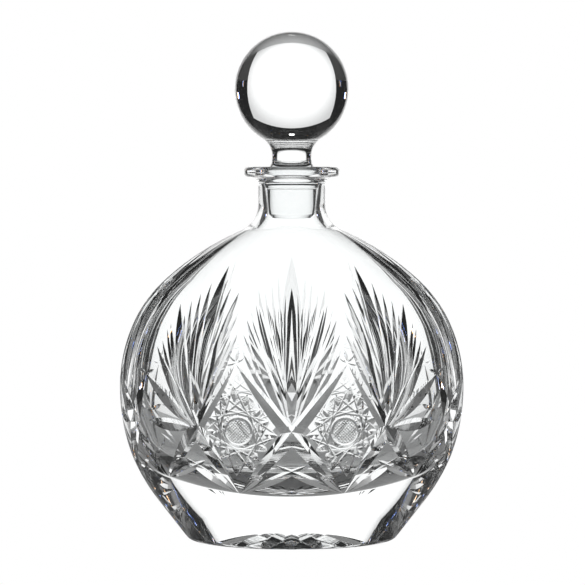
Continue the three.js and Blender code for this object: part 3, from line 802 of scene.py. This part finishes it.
def stopper_mesh():
    profile = stopper_profile()
    points, quads, _ = turned(profile, profile[:, 0], STOPPER_COLUMNS)
    mesh = mesh_of("ball_stopper", points, quads)
    mesh.polygons.foreach_set("use_smooth", np.ones(len(mesh.polygons), bool))
    mesh.set_sharp_from_angle(angle=SHARP_ANGLE)
    return mesh


# Material

def linear(hex_colour):
    """An sRGB hex colour as the linear numbers that a shader takes."""
    share = [int(hex_colour[i:i + 2], 16) / 255 for i in (1, 3, 5)]
    return [s / 12.92 if s <= 0.04045 else ((s + 0.055) / 1.055) ** 2.4 for s in share] + [1]


def node(tree, kind, settings=None, links=None):
    """Adds a node. Settings go to its sockets or properties, and links join other sockets to its own."""
    made = tree.nodes.new(kind)
    for name, value in (settings or {}).items():
        if name in made.inputs:
            made.inputs[name].default_value = value
        else:
            setattr(made, name, value)
    for name, socket in (links or {}).items():
        tree.links.new(socket, made.inputs[name])
    return made


def lead_crystal():
    """Lead crystal, blown in a mould, cut with a wheel and polished in acid.

    It is clear with hardly any tint, and its high index gives hard bright and black edges. The acid leaves
    the walls of the cuts glossy and very slightly wavy, so that what shows through them is drawn out.
    """
    material = bpy.data.materials.new("lead_crystal")
    material.use_nodes = True
    tree = material.node_tree
    place = node(tree, "ShaderNodeTexCoord").outputs["Object"]
    waves = node(tree, "ShaderNodeTexNoise", {"Scale": 1 / (POLISH_WAVE * MM), "Detail": 1.0},
                 {"Vector": place})
    polish = node(tree, "ShaderNodeBump", {"Strength": 1.0, "Distance": POLISH_DEPTH * MM},
                  {"Height": waves.outputs["Fac"]})
    shader = tree.nodes["Principled BSDF"]
    shader.inputs["Base Color"].default_value = linear(GLASS_COLOUR)
    shader.inputs["Roughness"].default_value = 0.0
    shader.inputs["IOR"].default_value = GLASS_INDEX
    shader.inputs["Transmission Weight"].default_value = 1.0
    tree.links.new(polish.outputs["Normal"], shader.inputs["Normal"])
    return material


# Pieces

def add_piece(name, mesh, body, cad_node, material):
    mesh.materials.clear()
    mesh.materials.append(material)
    piece = bpy.data.objects.new(name, mesh)
    bpy.context.scene.collection.objects.link(piece)
    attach(piece, body)
    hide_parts(cad_node)


crystal = lead_crystal()
add_piece("cut_decanter", keep_smooth_normals(cut_body()), "decanter", "decanter_body", crystal)
add_piece("ball_stopper", stopper_mesh(), "stopper", "stopper", crystal)


# Studio and camera

def calculate(tree, operation, *values):
    """A Math node on numbers or sockets."""
    made = node(tree, "ShaderNodeMath", {"operation": operation})
    for socket, value in zip(made.inputs, values):
        if isinstance(value, bpy.types.NodeSocket):
            tree.links.new(value, socket)
        else:
            socket.default_value = value
    return made.outputs[0]


def mixed(tree, share, first, second):
    """The first shader where the share is 0, the second where it is 1."""
    mix = node(tree, "ShaderNodeMixShader", links={"Fac": share})
    tree.links.new(first.outputs[0], mix.inputs[1])
    tree.links.new(second.outputs[0], mix.inputs[2])
    return mix


def soft_step(tree, value, limit, below, above):
    """One level below a limit and another above it, with a soft step between."""
    step = node(tree, "ShaderNodeMapRange", {
        "From Min": limit - ROOM_EDGE, "From Max": limit + ROOM_EDGE, "To Min": below, "To Max": above,
        "interpolation_type": "SMOOTHSTEP"}, {"Value": value})
    return step.outputs["Result"]


def azimuth_of(tree, part):
    """The angle of a direction's X and Y from straight behind the decanter, the same to either side."""
    return calculate(tree, "ARCTAN2", calculate(tree, "ABSOLUTE", part.outputs["X"]), part.outputs["Y"])


def room_light(tree, azimuth):
    """The pale room beside and in front of the decanter.

    Glass shows it where a ray runs straight through. A ray that the glass has mirrored inside sees none of
    it, as in a dark studio, and that keeps the black edges.
    """
    rays = node(tree, "ShaderNodeLightPath").outputs
    unmirrored = calculate(tree, "LESS_THAN", rays["Glossy Depth"], 1)
    straight = calculate(tree, "MULTIPLY", rays["Is Transmission Ray"], unmirrored)
    return calculate(tree, "MULTIPLY", soft_step(tree, azimuth, ROOM_FROM, 0, ROOM_STRENGTH), straight)


def studio_floor():
    """A pale floor: white for the eye, and in the glass as bright as the lit panel and the room make it."""
    mesh = mesh_of("floor", FLOOR_HALF_SIZE * np.array([[-1, -1, 0], [1, -1, 0], [1, 1, 0], [-1, 1, 0]]),
                   np.array([[0, 1, 2, 3]]))
    material = bpy.data.materials.new("pale_floor")
    material.use_nodes = True
    tree = material.node_tree
    tree.nodes.clear()
    matt = node(tree, "ShaderNodeBsdfDiffuse", {"Color": linear(FLOOR_COLOUR)})
    white = node(tree, "ShaderNodeEmission", {"Color": WHITE, "Strength": 1.0})
    rays = node(tree, "ShaderNodeLightPath").outputs
    place = node(tree, "ShaderNodeTexCoord").outputs["Object"]
    part = node(tree, "ShaderNodeSeparateXYZ", links={"Vector": place})
    room = room_light(tree, azimuth_of(tree, part))
    glow = calculate(tree, "MULTIPLY", rays["Is Transmission Ray"], FLOOR_GLOW)
    share = calculate(tree, "MAXIMUM", calculate(tree, "MAXIMUM", glow, room), rays["Is Camera Ray"])
    node(tree, "ShaderNodeOutputMaterial", links={"Surface": mixed(tree, share, matt, white).outputs[0]})
    mesh.materials.append(material)
    floor = bpy.data.objects.new("floor", mesh)
    bpy.context.scene.collection.objects.link(floor)


def softbox():
    """The lit panel that stands on the floor behind the decanter, brightest in its middle.

    The eye doesn't see it, and from behind it is clear.
    """
    half = BOX_WIDTH / 2
    corners = [(-half, BOX_DISTANCE, 0), (half, BOX_DISTANCE, 0),
               (half, BOX_DISTANCE, BOX_HEIGHT), (-half, BOX_DISTANCE, BOX_HEIGHT)]
    mesh = mesh_of("softbox", np.array(corners), np.array([[0, 1, 2, 3]]))
    material = bpy.data.materials.new("softbox_cloth")
    material.use_nodes = True
    tree = material.node_tree
    tree.nodes.clear()
    place = node(tree, "ShaderNodeTexCoord").outputs["Object"]
    centred = node(tree, "ShaderNodeMapping", {
        "Location": (0, 0, -2 * BOX_HOT_HEIGHT / BOX_HEIGHT),
        "Scale": (1 / (half * MM), 0, 2 / (BOX_HEIGHT * MM))}, {"Vector": place})
    away = node(tree, "ShaderNodeVectorMath", {"operation": "LENGTH"},
                {"Vector": centred.outputs["Vector"]})
    level = node(tree, "ShaderNodeMapRange", {
        "From Min": BOX_HOT_SPOT, "From Max": BOX_FADE_END,
        "To Min": BOX_RADIANCE, "To Max": BOX_EDGE_RADIANCE,
        "interpolation_type": "SMOOTHSTEP"}, {"Value": away.outputs["Value"]})
    light = node(tree, "ShaderNodeEmission", {"Color": WHITE}, {"Strength": level.outputs["Result"]})
    clear = node(tree, "ShaderNodeBsdfTransparent", {"Color": WHITE})
    camera_ray = node(tree, "ShaderNodeLightPath").outputs["Is Camera Ray"]
    behind = node(tree, "ShaderNodeNewGeometry").outputs["Backfacing"]
    unseen = calculate(tree, "MAXIMUM", camera_ray, behind)
    node(tree, "ShaderNodeOutputMaterial", links={"Surface": mixed(tree, unseen, light, clear).outputs[0]})
    mesh.materials.append(material)
    box = bpy.data.objects.new("softbox", mesh)
    bpy.context.scene.collection.objects.link(box)


def camera():
    """A camera at the photograph's eye height, tilted down to the middle of the frame."""
    data = bpy.data.cameras.new("camera")
    drop = EYE_HEIGHT - AIM_HEIGHT
    tilt = math.atan2(drop, EYE_DISTANCE)
    reach = math.hypot(EYE_DISTANCE, drop)
    data.sensor_width = SENSOR
    data.lens = SENSOR * reach / MM_PER_PIXEL / FRAME_WIDTH
    data.shift_x = PIXELS_ASIDE / FRAME_WIDTH
    eye = bpy.data.objects.new("camera", data)
    eye.location = (0, -EYE_DISTANCE * MM, EYE_HEIGHT * MM)
    eye.rotation_euler = (math.pi / 2 - tilt, 0, 0)
    bpy.context.scene.collection.objects.link(eye)
    bpy.context.scene.camera = eye


def studio_lamps(tree, azimuth, height):
    """Small bare lamps on both sides and over the softbox, which cut glass shows as glints.

    Crystal spreads the colours of a lamp's two edges. The lamps have that blue and orange edge themselves,
    because the renderer bends all colours alike.
    """
    def near(value, middle, half_size=LAMP_HALF_SIZE):
        away = calculate(tree, "ABSOLUTE", calculate(tree, "SUBTRACT", value, middle))
        return calculate(tree, "LESS_THAN", away, half_size)

    side = calculate(tree, "MULTIPLY", near(azimuth, SIDE_LAMP_AZIMUTH), near(height, SIDE_LAMP_HEIGHT))
    back = calculate(tree, "MULTIPLY", near(azimuth, 0.0),
                     near(height, BACK_LAMP_HEIGHT, BACK_LAMP_HALF_HEIGHT))
    rays = node(tree, "ShaderNodeLightPath").outputs
    glass_ray = calculate(tree, "MAXIMUM", rays["Is Transmission Ray"], rays["Is Glossy Ray"])
    lit = calculate(tree, "MULTIPLY", calculate(tree, "MAXIMUM", side, back), glass_ray)
    across = node(tree, "ShaderNodeMapRange", {
        "From Min": SIDE_LAMP_AZIMUTH - LAMP_HALF_SIZE,
        "From Max": SIDE_LAMP_AZIMUTH + LAMP_HALF_SIZE}, {"Value": azimuth})
    colours = node(tree, "ShaderNodeValToRGB", links={"Fac": across.outputs["Result"]})
    ramp = colours.color_ramp.elements
    for place, _ in LAMP_COLOURS[1:-1]:
        ramp.new(place)
    for element, (_, colour) in zip(ramp, LAMP_COLOURS):
        element.color = colour
    return node(tree, "ShaderNodeBackground", links={
        "Color": colours.outputs["Color"],
        "Strength": calculate(tree, "MULTIPLY", lit, LAMP_STRENGTH)})


def studio_world():
    """White for the eye. Glass shows a dark studio behind, and the pale room beside and in front."""
    world = bpy.data.worlds.new("studio")
    bpy.context.scene.world = world
    world.use_nodes = True
    tree = world.node_tree
    tree.nodes.clear()
    place = node(tree, "ShaderNodeTexCoord").outputs["Generated"]
    part = node(tree, "ShaderNodeSeparateXYZ", links={"Vector": place})
    azimuth = azimuth_of(tree, part)
    height = calculate(tree, "ARCSINE", part.outputs["Z"])
    band = calculate(tree, "MULTIPLY", soft_step(tree, height, ROOM_FOOT, 0, 1),
                     soft_step(tree, height, ROOM_TOP, 1, 0))
    level = calculate(tree, "MULTIPLY_ADD", room_light(tree, azimuth), band, DARK_STRENGTH)
    camera_ray = node(tree, "ShaderNodeLightPath").outputs["Is Camera Ray"]
    strength = calculate(tree, "MAXIMUM", level, camera_ray)
    room = node(tree, "ShaderNodeBackground", {"Color": WHITE}, {"Strength": strength})
    both = node(tree, "ShaderNodeAddShader")
    tree.links.new(room.outputs[0], both.inputs[0])
    tree.links.new(studio_lamps(tree, azimuth, height).outputs[0], both.inputs[1])
    node(tree, "ShaderNodeOutputWorld", links={"Surface": both.outputs[0]})


studio_floor()
softbox()
camera()
studio_world()
bpy.context.scene.view_settings.view_transform = "Standard"
for bounces in ("max_bounces", "transmission_bounces", "glossy_bounces"):
    setattr(bpy.context.scene.cycles, bounces, LIGHT_BOUNCES)
